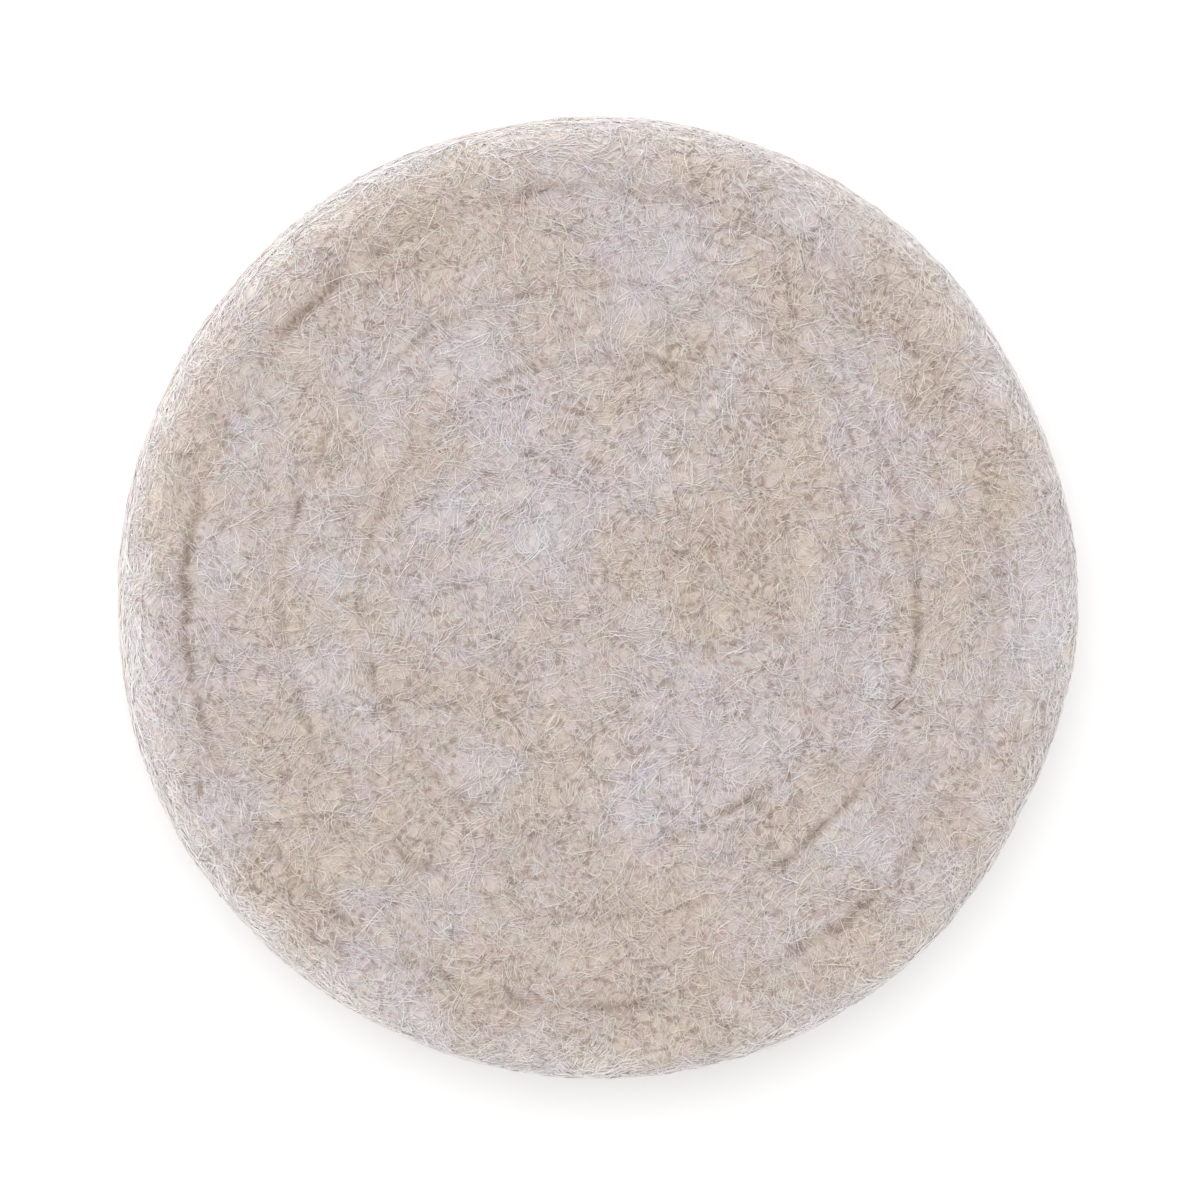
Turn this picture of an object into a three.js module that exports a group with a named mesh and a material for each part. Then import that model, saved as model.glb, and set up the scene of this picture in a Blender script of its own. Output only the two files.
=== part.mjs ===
// A round felt pad for the foot of a chair or table leg, one die-cut piece of thick needled felt.
// It lies on its flat back with the pressed face up: millimetres, +Z up through the face.
// The origin is in the middle of the flat back. Angles are in degrees, from +X towards +Y.
import * as THREE from "three";

// Driving dimensions of the disc
const padDiameter = 25;
const padThickness = 5;
const faceEdgeRadius = 1.3;
const backEdgeRadius = 0.35;
const wallBelly = 0.12;
const faceCrown = 0.1;

// Section of a pressed crease: a soft valley with the felt pushed up in a low lip on each side.
// The lip's distance from the valley's middle and the crease's reach are in half widths of the
// valley, and the lip's height is a share of the valley's depth.
const lipOffset = 2.6;
const lipShare = 0.16;
const creaseReach = 4.2;
const creaseArcFade = 3;

// Three rings of broken creases, from the middle of the face to its edge.
// inset is the distance from the pad's edge to the ring, halfWidth is that of its valley, and
// centre is how far the ring sits off the pad's own centre. depth is the faint mark that goes all
// round, and each pressed stretch then runs between two angles to its own depth.
const creaseRings = [
  {
    inset: 6.22,
    halfWidth: 0.15,
    centre: { x: 0, y: 0 },
    depth: 0.05,
    pressed: [
      { from: 67, to: 85, depth: 0.2 },
      { from: 88, to: 124, depth: 0.1 },
      { from: 140, to: 172, depth: 0.08 },
      { from: 178, to: 187, depth: 0.12 },
      { from: 195, to: 205, depth: 0.14 },
      { from: 222, to: 237, depth: 0.12 },
      { from: 250, to: 277, depth: 0.1 },
      { from: 284, to: 294, depth: 0.1 },
      { from: 295, to: 313, depth: 0.22 },
      { from: 353, to: 364, depth: 0.14 },
    ],
  },
  {
    inset: 4.32,
    halfWidth: 0.15,
    centre: { x: -0.06, y: 0 },
    depth: 0.06,
    pressed: [
      { from: -16, to: 13, depth: 0.2 },
      { from: 16, to: 35, depth: 0.16 },
      { from: 38, to: 52, depth: 0.08 },
      { from: 78, to: 93, depth: 0.09 },
      { from: 100, to: 109, depth: 0.14 },
      { from: 116, to: 140, depth: 0.1 },
      { from: 143, to: 156, depth: 0.12 },
      { from: 158, to: 172, depth: 0.17 },
      { from: 172, to: 190, depth: 0.12 },
      { from: 195, to: 220, depth: 0.1 },
      { from: 228, to: 239, depth: 0.14 },
      { from: 302, to: 323, depth: 0.26 },
      { from: 326, to: 340, depth: 0.1 },
    ],
  },
  {
    inset: 1.97,
    halfWidth: 0.24,
    centre: { x: -0.22, y: 0.08 },
    depth: 0.04,
    pressed: [
      { from: -10, to: 21, depth: 0.08 },
      { from: 76, to: 92, depth: 0.1 },
      { from: 94, to: 107, depth: 0.18 },
      { from: 116, to: 125, depth: 0.2 },
      { from: 129, to: 141, depth: 0.28 },
      { from: 165, to: 190, depth: 0.26 },
      { from: 192, to: 203, depth: 0.18 },
      { from: 214, to: 234, depth: 0.12 },
      { from: 240, to: 267, depth: 0.14 },
      { from: 267, to: 277, depth: 0.2 },
      { from: 297, to: 314, depth: 0.22 },
      { from: 316, to: 325, depth: 0.14 },
      { from: 340, to: 348, depth: 0.12 },
    ],
  },
];

// How far beside a ring its shift off the pad's centre still pulls the face along
const ringShiftSpread = 1;

// Flats and bulges of the worn outline: depth is outwards where it is more than 0
const outlineMarks = [
  { at: 25, spread: 12, depth: -0.2 },
  { at: 58, spread: 14, depth: -0.05 },
  { at: 122, spread: 10, depth: 0.08 },
  { at: 202, spread: 11, depth: 0.08 },
  { at: 333, spread: 12, depth: -0.2 },
];

// How finely the surface is divided: stations across a crease are in half widths of its valley
const turnSegments = 120;
const middleSteps = 3;
const creaseStations = [-creaseReach, -lipOffset, -1.4, -0.7, 0, 0.7, 1.4, lipOffset, creaseReach];
const faceEdgeSteps = 6;
const wallSteps = 4;
const backEdgeSteps = 3;

const padRadius = padDiameter / 2;
const cutRadius = padRadius - wallBelly;
const faceRadius = cutRadius - faceEdgeRadius;
const degree = Math.PI / 180;

// Signed difference of two angles in degrees, between -180 and 180
function angleBetween(angle, other) {
  return THREE.MathUtils.euclideanModulo(angle - other + 180, 360) - 180;
}

function bell(distance, spread) {
  return Math.exp(-0.5 * (distance / spread) ** 2);
}

// The worn outline's distance outside the true circle at an angle
function outlineShift(angle) {
  return outlineMarks.reduce(
    (sum, mark) => sum + mark.depth * bell(angleBetween(angle, mark.at), mark.spread),
    0,
  );
}

// How deep a ring is pressed at an angle: each stretch fades out over its ends
function pressedDepth(ring, angle) {
  let depth = ring.depth;
  for (const stretch of ring.pressed) {
    const halfLength = (stretch.to - stretch.from) / 2;
    const fromMiddle = Math.abs(angleBetween(angle, stretch.from + halfLength));
    const share = 1 - THREE.MathUtils.smoothstep(
      fromMiddle,
      halfLength - creaseArcFade,
      halfLength + creaseArcFade,
    );
    depth = Math.max(depth, stretch.depth * share);
  }
  return depth;
}

// Height of the crease's section, for a valley 1 deep, at a distance across it in half widths
function creaseSection(across) {
  const valley = Math.exp(-(across ** 2));
  const lip = Math.exp(-((Math.abs(across) - lipOffset) ** 2));
  return lipShare * lip - valley;
}

function ringRadius(ring) {
  return padRadius - ring.inset;
}

// Height of the face's crown at a radius, measured from the face's own middle
function crownDrop(radius) {
  return faceCrown * (radius / faceRadius) ** 2;
}

// Radii on the face from the middle out, close together across each crease
function faceStations() {
  const innerRing = creaseRings[0];
  const middleRadius = ringRadius(innerRing) - creaseReach * innerRing.halfWidth;
  const radii = [];
  for (let step = 0; step < middleSteps; step += 1) {
    radii.push((middleRadius * step) / middleSteps);
  }
  for (const ring of creaseRings) {
    radii.push(...creaseStations.map((station) => ringRadius(ring) + station * ring.halfWidth));
  }
  return radii;
}

// Quarter of a round edge, as points (radius, height), from one angle to another
function edgeArc(centreRadius, centreHeight, arcRadius, fromAngle, toAngle, steps) {
  const points = [];
  for (let step = 0; step <= steps; step += 1) {
    const angle = THREE.MathUtils.lerp(fromAngle, toAngle, step / steps) * degree;
    points.push(new THREE.Vector2(
      centreRadius + arcRadius * Math.cos(angle),
      centreHeight + arcRadius * Math.sin(angle),
    ));
  }
  return points;
}

// Half section of the disc, from the middle of the back, round the wall, to the middle of the face
function discProfile() {
  const faceEdgeHeight = padThickness - faceCrown - faceEdgeRadius;
  const back = [new THREE.Vector2(0, 0)];
  const backEdge = edgeArc(
    cutRadius - backEdgeRadius, backEdgeRadius, backEdgeRadius, -90, 0, backEdgeSteps,
  );
  const wall = [];
  for (let step = 1; step < wallSteps; step += 1) {
    const share = step / wallSteps;
    wall.push(new THREE.Vector2(
      cutRadius + wallBelly * Math.sin(Math.PI * share),
      THREE.MathUtils.lerp(backEdgeRadius, faceEdgeHeight, share),
    ));
  }
  const faceEdge = edgeArc(faceRadius, faceEdgeHeight, faceEdgeRadius, 0, 90, faceEdgeSteps);
  const face = faceStations()
    .filter((radius) => radius < faceRadius)
    .reverse()
    .map((radius) => new THREE.Vector2(radius, padThickness - crownDrop(radius)));
  return [...back, ...backEdge, ...wall, ...faceEdge, ...face];
}

// Moves one point of the turned disc to its place on the worn, pressed pad
function wornPoint(point) {
  const radius = Math.hypot(point.x, point.y);
  if (radius === 0) {
    return point;
  }
  const angle = Math.atan2(point.y, point.x) / degree;
  const edgeShare = (radius / padRadius) ** 4;
  const faceShare = THREE.MathUtils.smoothstep(
    point.z,
    padThickness - faceCrown - faceEdgeRadius,
    padThickness - faceCrown,
  );
  let outward = outlineShift(angle) * edgeShare;
  let height = point.z;
  for (const ring of creaseRings) {
    const across = radius - ringRadius(ring);
    const towards = ring.centre.x * Math.cos(angle * degree) + ring.centre.y * Math.sin(angle * degree);
    outward += towards * bell(across, ringShiftSpread) * faceShare;
    height += pressedDepth(ring, angle) * creaseSection(across / ring.halfWidth) * faceShare;
  }
  const scale = (radius + outward) / radius;
  return new THREE.Vector3(point.x * scale, point.y * scale, height);
}

function feltPad() {
  const geometry = new THREE.LatheGeometry(discProfile(), turnSegments);
  geometry.rotateX(Math.PI / 2);
  const position = geometry.getAttribute("position");
  const point = new THREE.Vector3();
  for (let index = 0; index < position.count; index += 1) {
    point.fromBufferAttribute(position, index);
    position.setXYZ(index, ...wornPoint(point));
  }
  geometry.computeBoundingBox();
  const middle = geometry.boundingBox.getCenter(new THREE.Vector3());
  geometry.translate(-middle.x, -middle.y, -geometry.boundingBox.min.z);
  geometry.computeVertexNormals();
  const felt = new THREE.MeshStandardMaterial({ color: 0xc9bdb3, roughness: 0.95, metalness: 0 });
  const mesh = new THREE.Mesh(geometry, felt);
  mesh.name = "felt_pad";
  return mesh;
}

const pad = new THREE.Group();
pad.add(feltPad());

export default pad;
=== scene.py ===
import math
from collections import namedtuple
from itertools import product

import bpy
import numpy as np
from bpy.props import FloatProperty, FloatVectorProperty, IntProperty, PointerProperty
from mathutils import Matrix, Vector


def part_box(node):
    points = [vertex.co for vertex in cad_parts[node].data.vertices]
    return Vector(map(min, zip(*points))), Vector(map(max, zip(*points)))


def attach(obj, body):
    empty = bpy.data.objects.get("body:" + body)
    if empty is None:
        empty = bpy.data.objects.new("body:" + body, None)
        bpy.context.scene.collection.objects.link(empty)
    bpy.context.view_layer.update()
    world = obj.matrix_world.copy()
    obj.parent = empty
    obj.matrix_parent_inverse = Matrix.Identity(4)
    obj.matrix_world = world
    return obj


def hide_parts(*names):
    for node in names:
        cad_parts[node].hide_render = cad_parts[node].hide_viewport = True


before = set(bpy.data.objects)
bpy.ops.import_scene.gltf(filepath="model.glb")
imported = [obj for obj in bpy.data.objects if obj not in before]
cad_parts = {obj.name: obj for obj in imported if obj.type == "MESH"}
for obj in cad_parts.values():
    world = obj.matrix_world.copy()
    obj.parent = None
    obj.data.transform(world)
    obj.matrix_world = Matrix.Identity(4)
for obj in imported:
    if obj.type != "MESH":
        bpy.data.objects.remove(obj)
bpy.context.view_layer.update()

bl_info = {
    "name": "Needled felt pad",
    "version": (1, 0, 0),
    "blender": (4, 5, 0),
    "location": "3D View > Sidebar > Felt Pad",
    "description": "Builds the fibres of a worn felt furniture pad around its solid",
    "category": "Object",
}

MM = 0.001
PAD_NODE = "felt_pad"
PAD_LOW, PAD_HIGH = (np.array(corner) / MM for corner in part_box(PAD_NODE))

# The solid's section, in millimetres
PAD_RADIUS = (PAD_HIGH[0] - PAD_LOW[0]) / 2
PAD_THICKNESS = PAD_HIGH[2] - PAD_LOW[2]
FACE_EDGE_RADIUS = 1.3
BACK_EDGE_RADIUS = 0.35
WALL_BELLY = 0.12
FACE_CROWN = 0.1
CUT_RADIUS = PAD_RADIUS - WALL_BELLY
FACE_RADIUS = CUT_RADIUS - FACE_EDGE_RADIUS
WALL_HEIGHT = PAD_THICKNESS - FACE_CROWN - FACE_EDGE_RADIUS - BACK_EDGE_RADIUS

# Lengths along the half section, from the middle of the face to the middle of the back
QUARTER_TURN = math.pi / 2
FACE_END = FACE_RADIUS
FACE_EDGE_END = FACE_END + QUARTER_TURN * FACE_EDGE_RADIUS
WALL_END = FACE_EDGE_END + WALL_HEIGHT
BACK_EDGE_END = WALL_END + QUARTER_TURN * BACK_EDGE_RADIUS
SECTION_END = BACK_EDGE_END + CUT_RADIUS - BACK_EDGE_RADIUS

# Section of a pressed crease: the lips' distance is in half widths. The loose fibres bridge a
# crease, so that it shows narrower than in the solid and at a share of its depth. Its stretches
# fade out over CREASE_ARC_FADE degrees, and its ring wanders a little.
LIP_OFFSET = 2.6
LIP_SHARE = 0.16
OPEN_DEPTH_SHARE = 0.28
CREASE_ARC_FADE = 3.0
CREASE_WANDER, CREASE_WANDER_CELL = 0.1, 0.7
RING_SHIFT_SPREAD = 1.0

# How dark a crease of the solid's depth STAIN_AND_SHADE_DEPTH is, and how much of it is left, at the least,
# where fibres bridge it
# The darkening grows with a crease's depth: partly browner pressed wool, partly painted shade for
# the depth that the surface leaves out
STAIN_AND_SHADE_SHARE = 0.5
STAIN_AND_SHADE_DEPTH = 0.2
BREAK_LEAST = 0.52
BREAK_SWING, BREAK_CELL = 1.2, 0.4

# The three rings of broken creases: inset from the edge, half width that shows, how far the ring's
# centre sits off the pad's, the depth of the faint mark all round, and the pressed stretches
# (from, to, depth), where angles are in degrees from +X towards +Y
CREASE_RINGS = (
    (6.22, 0.1, (0.0, 0.0), 0.05, (
        (67, 85, 0.2), (88, 124, 0.1), (140, 172, 0.08), (178, 187, 0.12), (195, 205, 0.14),
        (222, 237, 0.12), (250, 277, 0.1), (284, 294, 0.1), (295, 313, 0.22), (353, 364, 0.14),
    )),
    (4.32, 0.1, (-0.06, 0.0), 0.06, (
        (-16, 13, 0.2), (16, 35, 0.16), (38, 52, 0.08), (78, 93, 0.09), (100, 109, 0.14),
        (116, 140, 0.1), (143, 156, 0.12), (158, 172, 0.17), (172, 190, 0.12), (195, 220, 0.1),
        (228, 239, 0.14), (302, 323, 0.26), (326, 340, 0.1),
    )),
    (1.97, 0.15, (-0.22, 0.08), 0.04, (
        (-10, 21, 0.08), (76, 92, 0.1), (94, 107, 0.18), (116, 125, 0.2), (129, 141, 0.28),
        (165, 190, 0.26), (192, 203, 0.18), (214, 234, 0.12), (240, 267, 0.14), (267, 277, 0.2),
        (297, 314, 0.22), (316, 325, 0.14), (340, 348, 0.12),
    )),
)

# Flats and bulges of the worn outline: (angle, spread, outward depth)
OUTLINE_MARKS = ((25, 12, -0.2), (58, 14, -0.05), (122, 10, 0.08), (202, 11, 0.08), (333, 12, -0.2))

# Where the blended wool lies browner and where it lies greyer, as (x, y, spread, strength) in
# millimetres on the face
BROWN_PATCHES = (
    (2.8, 0.8, 1.6, 1.0), (4.6, 3.9, 1.1, 0.8), (-8.0, -7.3, 1.0, 1.3), (0.6, -10.9, 0.8, 1.3),
    (2.2, -11.3, 0.8, 1.1), (0.8, -8.8, 1.0, 0.9), (7.0, -8.6, 0.9, 1.0), (4.7, -5.1, 0.8, 1.1),
    (-3.2, -2.6, 1.0, 0.9), (-0.3, -4.0, 0.8, 0.8), (-7.3, -4.2, 1.0, 0.8), (-5.3, -6.4, 0.8, 0.8),
    (-11.0, 2.9, 0.8, 1.0), (-7.4, 4.2, 0.6, 0.8), (-4.4, 4.1, 0.6, 0.7), (-4.8, 9.2, 1.1, 0.9),
    (-3.6, 10.5, 0.8, 0.8), (-1.6, 9.3, 0.6, 0.7), (3.8, 9.5, 0.7, 0.9), (2.6, 10.8, 0.7, 0.8),
    (7.6, 8.3, 1.2, 1.0), (8.6, 5.5, 0.7, 1.0), (10.3, 3.2, 1.1, 1.0), (4.6, 7.1, 0.6, 0.7),
    (1.5, 6.0, 0.7, 0.9), (8.3, -0.8, 0.6, 0.8), (-3.3, -10.2, 0.7, 0.9), (-1.5, -8.5, 0.6, 0.6),
    (-7.9, -0.7, 0.6, 0.7),
)
GREY_PATCHES = (
    (-1.7, 1.8, 0.9, 1.4), (-4.0, 2.2, 0.5, 1.0), (-6.9, 0.5, 0.6, 1.2), (-9.7, 0.7, 0.6, 1.2),
    (-9.3, 4.0, 0.7, 0.9), (-12.0, -1.2, 0.8, 1.4), (1.7, 9.1, 0.9, 1.4), (0.8, 8.0, 0.7, 0.8),
    (1.2, 3.6, 0.7, 1.0), (-3.4, 6.2, 0.6, 1.0), (-5.8, 5.6, 0.9, 0.8), (-2.3, 4.8, 0.8, 0.8),
    (-7.0, -2.2, 0.7, 0.9), (-9.2, -5.3, 0.6, 0.9), (-6.3, -8.0, 0.8, 0.8), (-3.4, -8.3, 0.7, 0.8),
    (-5.0, -10.7, 0.8, 0.9), (-3.0, -4.6, 0.7, 0.8), (1.0, -5.2, 0.8, 1.1), (3.6, -3.5, 0.9, 0.9),
    (6.8, -6.0, 0.7, 1.2), (7.0, -2.2, 0.8, 0.9), (11.2, -0.8, 0.9, 1.5), (11.5, 0.9, 0.8, 0.8),
    (7.0, 0.4, 0.7, 0.9), (6.3, 6.0, 0.8, 0.8), (7.0, 4.5, 0.7, 0.8), (3.5, 5.6, 0.7, 0.9),
    (1.5, -1.5, 0.7, 0.8), (5.2, 9.9, 0.7, 0.9), (11.0, 5.5, 0.8, 0.8), (4.6, -8.7, 0.6, 0.7),
    (8.7, -7.0, 0.6, 0.7), (-2.6, 12.0, 0.6, 0.8), (0.4, 10.9, 0.6, 0.7),
)

# Small tufts of cool white wool, in the same way, and how far their borders stray beside the others
COOL_TUFT_STRAY = 0.2
COOL_TUFTS = (
    (6.99, -6.08, 0.2, 1.0), (10.72, -1.13, 0.25, 0.9), (11.42, -0.69, 0.3, 0.8),
    (-9.73, 0.66, 0.25, 1.0), (1.03, 2.88, 0.22, 0.8), (1.05, -4.7, 0.22, 0.8),
    (6.6, 0.48, 0.22, 0.8), (2.02, 9.13, 0.3, 0.8), (-9.39, 3.66, 0.22, 0.8),
    (-9.54, 4.26, 0.25, 0.9), (-3.55, 6.0, 0.28, 0.9), (-6.5, -7.51, 0.25, 0.7),
    (-6.99, -2.56, 0.22, 0.8), (-9.39, -5.61, 0.22, 0.7), (-7.04, 0.61, 0.3, 0.8),
    (3.27, 5.64, 0.25, 0.7), (0.61, 9.78, 0.22, 0.7), (-2.88, -5.04, 0.25, 0.8),
    (-4.0, 2.28, 0.25, 0.9), (6.05, 6.08, 0.25, 0.7), (-6.29, 5.85, 0.3, 0.8),
    (-1.45, 1.86, 0.35, 0.8), (-2.28, 1.47, 0.35, 0.8), (-3.79, -8.09, 0.25, 0.7),
    (0.98, -5.64, 0.3, 0.7), (7.12, -1.86, 0.25, 0.8), (5.95, -6.52, 0.25, 0.7),
)

# Where the surface is open and full of pits, and where it is closed and fleecy, in the same way
OPEN_PATCHES = (
    (3.4, 1.0, 1.2, 0.5), (1.9, 1.1, 0.4, 0.6), (7.7, 2.0, 0.35, 0.8), (7.8, 0.8, 0.3, 0.7),
    (2.0, -6.0, 0.5, 0.7), (3.8, -5.0, 0.5, 0.8), (0.5, -10.2, 0.5, 0.7), (-5.2, -6.3, 0.5, 0.7),
    (-8.5, -7.0, 0.6, 0.8), (-7.0, -8.2, 0.5, 0.7), (8.5, 5.5, 0.4, 0.8), (6.3, 5.0, 0.4, 0.7),
    (6.6, 7.7, 0.5, 0.8), (4.0, 9.5, 0.5, 0.8), (-7.7, 7.6, 0.35, 1.2), (-4.4, 7.0, 0.4, 0.8),
    (1.5, 5.9, 0.4, 0.8), (10.0, 3.0, 0.4, 0.7), (6.0, -8.5, 0.4, 0.7), (9.0, -5.0, 0.4, 0.6),
    (-10.7, 0.5, 0.3, 0.8), (-7.6, 3.6, 0.3, 1.0),
)
CLOSED_PATCHES = (
    (-6.0, 4.0, 0.6, 0.8), (-7.0, 0.7, 0.5, 0.8), (-2.5, 1.0, 0.9, 0.9), (-3.5, 6.3, 0.5, 0.8),
    (0.5, 7.4, 0.5, 0.7), (1.6, 7.1, 0.5, 0.8), (11.5, -0.8, 0.5, 0.8), (-5.0, -10.8, 0.5, 0.6),
    (5.4, -7.0, 0.35, 0.8), (6.3, -6.2, 0.45, 0.9), (7.1, -5.2, 0.35, 0.8),
)

# Single hairs that lie loose on the face: how dark each is, from 0 to 1, how stout it is beside
# the other fibres, and the places (x, y) it runs through, in millimetres on the face
STRAY_HAIRS = (
    (1.0, 1.5, ((7.83, -2.52), (7.65, -2.68), (7.47, -2.84))),
    (0.6, 1.1, ((7.47, -2.84), (7.37, -2.78), (7.39, -2.64), (7.52, -2.52))),
    (0.7, 1.6, ((-10.38, -6.62), (-10.2, -6.63), (-10.01, -6.6))),
    (0.8, 1.8, ((-1.69, 10.38), (-1.55, 10.44), (-1.38, 10.52))),
    (0.6, 1.6, ((-3.68, 10.02), (-3.5, 10.04), (-3.31, 10.02))),
    (0.7, 2.0, ((-9.02, -7.24), (-8.95, -7.25), (-8.87, -7.23))),
    (0.55, 1.6, ((3.96, 9.7), (3.95, 9.5), (3.91, 9.2))),
    (0.7, 1.1, ((4.44, 6.21), (4.7, 6.27), (4.92, 6.31))),
    (0.8, 1.8, ((-7.77, 2.52), (-7.82, 2.3), (-7.91, 2.12))),
    (0.7, 2.0, ((1.38, 6.3), (1.41, 6.2), (1.46, 6.1))),
    (0.6, 2.0, ((-7.6, 3.72), (-7.62, 3.62), (-7.68, 3.54))),
    (0.5, 1.8, ((8.02, 1.28), (8.07, 0.9), (8.1, 0.5))),
    (0.6, 1.8, ((5.28, -6.24), (5.35, -6.29), (5.44, -6.33))),
    (0.6, 1.8, ((6.66, -4.15), (6.65, -4.23), (6.62, -4.31))),
    (0.5, 1.6, ((3.87, -4.75), (3.95, -4.8), (4.05, -4.81))),
    (0.5, 1.6, ((6.2, 5.22), (6.26, 5.17), (6.33, 5.09))),
    (0.0, 1.0, (
        (-3.01, 11.49), (-2.7, 11.26), (-2.39, 11.05), (-2.31, 10.92), (-2.44, 10.74),
        (-2.65, 10.69), (-2.96, 10.82), (-3.24, 11.05),
    )),
    (0.0, 1.1, ((-5.16, 4.67), (-5.0, 4.85), (-4.8, 4.82), (-4.62, 4.93))),
    (0.0, 1.2, ((-0.7, 1.2), (-0.62, 1.24), (-0.53, 1.23))),
    (0.0, 1.4, ((4.59, -7.15), (4.8, -7.22), (5.08, -7.33))),
    (0.0, 1.2, ((6.41, -7.47), (6.7, -7.56), (6.99, -7.6), (7.2, -7.58), (7.34, -7.51))),
    (0.0, 1.2, ((6.0, -6.36), (6.05, -6.5), (6.05, -6.67))),
    (0.0, 1.0, ((-9.42, -6.63), (-9.28, -6.88), (-9.1, -7.09))),
    (0.0, 1.0, ((-5.9, 9.16), (-5.5, 9.8), (-5.13, 10.4))),
    (0.0, 1.0, ((-7.16, 7.9), (-6.48, 8.19), (-5.6, 8.34))),
)
HAIR_POINTS = 14
HAIR_LIFT = 0.03
HAIR_LEAST_DARKNESS = 0.6
HAIR_MOTTLE = 0.8

# How the listed patches and the chance clouds turn the wool brown or grey, cells in millimetres
PATCH_SWING = 0.6
PATCH_BEND, PATCH_BEND_CELL = 0.7, 1.1
PATCH_FRAY, PATCH_FRAY_CELL = 0.3, 0.45
CLOUD_SWING, CLOUD_CELL = 0.3, 1.6
SMALL_CLOUD_SWING, SMALL_CLOUD_CELL = 0.36, 0.7
WALL_CLOUD_SHARE = 1.3
FACE_CLOUD_FALL = 0.4

# How much undyed wool shows everywhere, and how much more of it where the wool is grey, fleecy or
# cool. On the wall, and more towards the rim from the height PALE_RIM_LOW up, the wool turns paler
# as its surface turns from facing up: partly rubbed wool, partly a painted rim highlight
BASE_PALENESS = 0.18
GREY_PALENESS = 0.1
FLEECE_PALENESS, FLEECE_CELL = 0.1, 0.9
FLEECE_GAP_SHARE = 0.4
COOL_PALENESS = 0.2
WALL_WEAR_AND_LIGHT = 0.3
RIM_WEAR_AND_LIGHT = 0.5
PALE_RIM_LOW = 2.6
PALE_RIM_FADE = 1.4

# How open the wool is, with pits and gaps between its threads, on the face and on the wall
OPEN_SWING, OPEN_CELL = 0.18, 0.8
BROWN_OPENNESS = 0.1
PATCH_OPENNESS = 0.25
WALL_OPENNESS = 0.1

# Surface of the mat: how far it lies under the pad's own surface on the back, and how much deeper
# elsewhere, its lumps, its hollows in clusters, and how much of the paleness shows on it, kept low
# so that the mat stays darker than the loose fibres over it, as painted shade under them
MAT_BACK_SINK = 0.01
MAT_SINK = 0.085
MAT_LUMP_HEIGHT, MAT_LUMP_CELL = 0.02, 0.9
HOLLOW_DEPTH = 0.022
HOLLOW_SWING, HOLLOW_CELL = 2.2, 0.3
HOLLOW_CLUSTER_SWING, HOLLOW_CLUSTER_CELL = 1.4, 1.0
LONE_HOLLOW_SHARE = 0.25
WALL_HOLLOW_SHARE = 0.2
MAT_PALENESS = 0.3
MAT_FACE_PALENESS_FALL = 0.1

# How finely the mat is divided: the corners of its first ring, then the widest step along a ring
# and the steps from ring to ring, in millimetres
FIRST_RING_CORNERS = 6
WIDEST_CORNER = 0.105
FACE_STEP = 0.1
EDGE_STEP = 0.12
WALL_STEP = 0.3

# A fibre is a three-sided tube with pointed ends, and it bends and waves as it goes. FIBRE_WIDTHS
# is the range of its width beside the usual one, and FIBRE_CLEARANCE its least height in widths.
# Fibres lie in locks, LOCK_SPREAD apart, and a lock strays by LOCK_STRAY from its even place.
# Angles are in radians and lengths in millimetres.
FIBRE_SIDES = 3
FIBRE_RINGS = 4
FIBRE_POINTS = FIBRE_RINGS + 2
FIBRE_END_SWELL = 0.85
FIBRE_CRIMP = 0.5
FIBRE_WAVES = 1.3
FIBRE_WAVE_SPREAD = 0.1
FIBRE_BEND_SPREAD = 0.3
FIBRE_WAY_SPREAD = 0.25
FIBRE_TILT = 0.03
FIBRE_WIDTHS = (0.7, 1.25)
FIBRE_CLEARANCE = 0.55
SECTION_SAMPLES = 400
FIBRES_IN_LOCK = 3
LOCK_SPREAD = 0.12
LOCK_STRAY = 0.12
FLOW_CELL = 2.4
FLOW_SPREAD = 0.9

# How the dye of the locks and of their fibres strays from that of the place. On average the locks
# are also made paler, as painted light on the loose fibres over the darker mat.
LOCK_PALENESS, LOCK_PALENESS_SPREAD = 0.075, 0.035
FIBRE_PALENESS_SPREAD = 0.03
FIBRE_BROWNNESS_SPREAD = 0.06
FIBRE_TONE_SPREAD = 0.12

# Layers of fibres: reach is the stretch of the half section where they start, bend how far they
# turn in radians, lift the range of their ends' heights, arch the range of how far their middles
# rise, tone how light their fibres are, a little darker in the face layers under the top one as
# painted shade and darker still on the back, stoutness their width beside the thickness in the
# settings, and sideways the share of them that runs round the pad
FibreLayer = namedtuple(
    "FibreLayer",
    "name seed reach bend lift arch tone stoutness sideways",
    defaults=(1.0, 1.0, 0.0),
)
FACE_REACH = (0.0, FACE_EDGE_END + 0.4)
WALL_REACH = (FACE_EDGE_END - 0.2, WALL_END + 0.2)
BACK_REACH = (BACK_EDGE_END, SECTION_END)
FACE_LAYERS = (
    FibreLayer("face_fibres_low", 21, FACE_REACH, 1.1, (-0.1, -0.075), (0.0, 0.015), 0.98, 1.7),
    FibreLayer("face_fibres_middle", 22, FACE_REACH, 1.1, (-0.09, -0.055), (0.0, 0.03), 0.98, 1.3),
    FibreLayer("face_fibres_top", 23, FACE_REACH, 1.1, (-0.07, -0.035), (0.005, 0.035)),
)
WALL_LAYER = FibreLayer(
    "wall_fibres", 31, WALL_REACH, 0.9, (-0.095, -0.02), (0.0, 0.035),
    stoutness=1.75, sideways=0.25,
)
BACK_LAYER = FibreLayer("back_fibres", 32, BACK_REACH, 1.1, (-0.02, 0.0), (0.0, 0.01), tone=0.6)

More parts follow.
